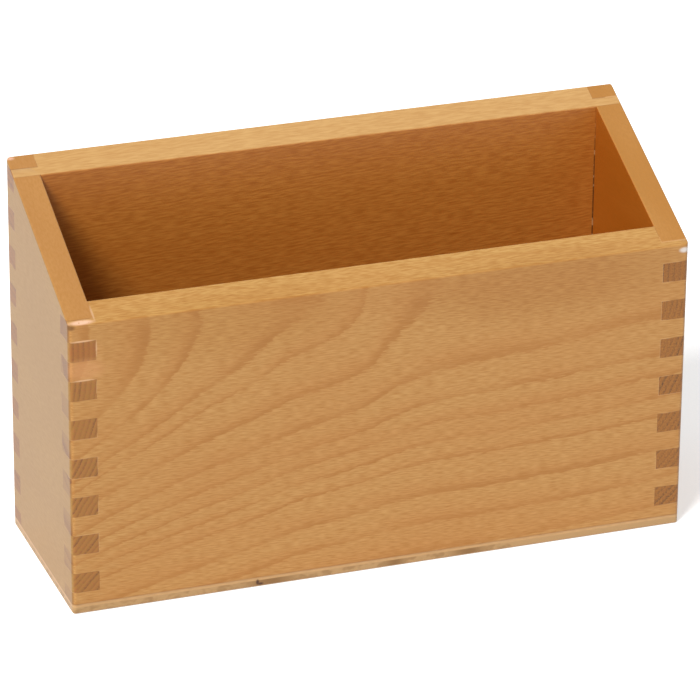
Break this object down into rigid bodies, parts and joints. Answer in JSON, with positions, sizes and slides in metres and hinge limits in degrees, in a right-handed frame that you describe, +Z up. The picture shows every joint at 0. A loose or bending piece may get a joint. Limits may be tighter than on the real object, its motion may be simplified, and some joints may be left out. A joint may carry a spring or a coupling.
{
  "type": "storage box",
  "caption": "Open wooden box with finger-jointed walls on a plywood base; the whole top is cut on a slant, low in front and high at the back.",
  "frame": {"origin": "middle of the footprint, on the underside of the base", "axes": "+X along the length to the right end board, +Y from the low front board to the high back board, +Z up"},
  "size_m": [0.187, 0.062, 0.117],
  "materials": {
    "front_wood": "satin lacquer over honey-tan beech, flat-sawn with arched growth lines",
    "back_wood": "satin lacquer over honey-tan beech",
    "left_wood": "satin lacquer over honey-tan beech, a pale haze of gloss at a slant",
    "right_wood": "satin lacquer over deeper tan beech",
    "plywood": "thin three-ply sheet, edges sanded over and lacquered"
  },
  "bodies": {
    "root": {"front_board": "front_wood", "back_board": "back_wood", "left_end_board": "left_wood", "right_end_board": "right_wood", "left_corner_tip": "left_wood", "right_corner_tip": "right_wood", "plywood_base": "plywood"}
  },
  "joints": []
}
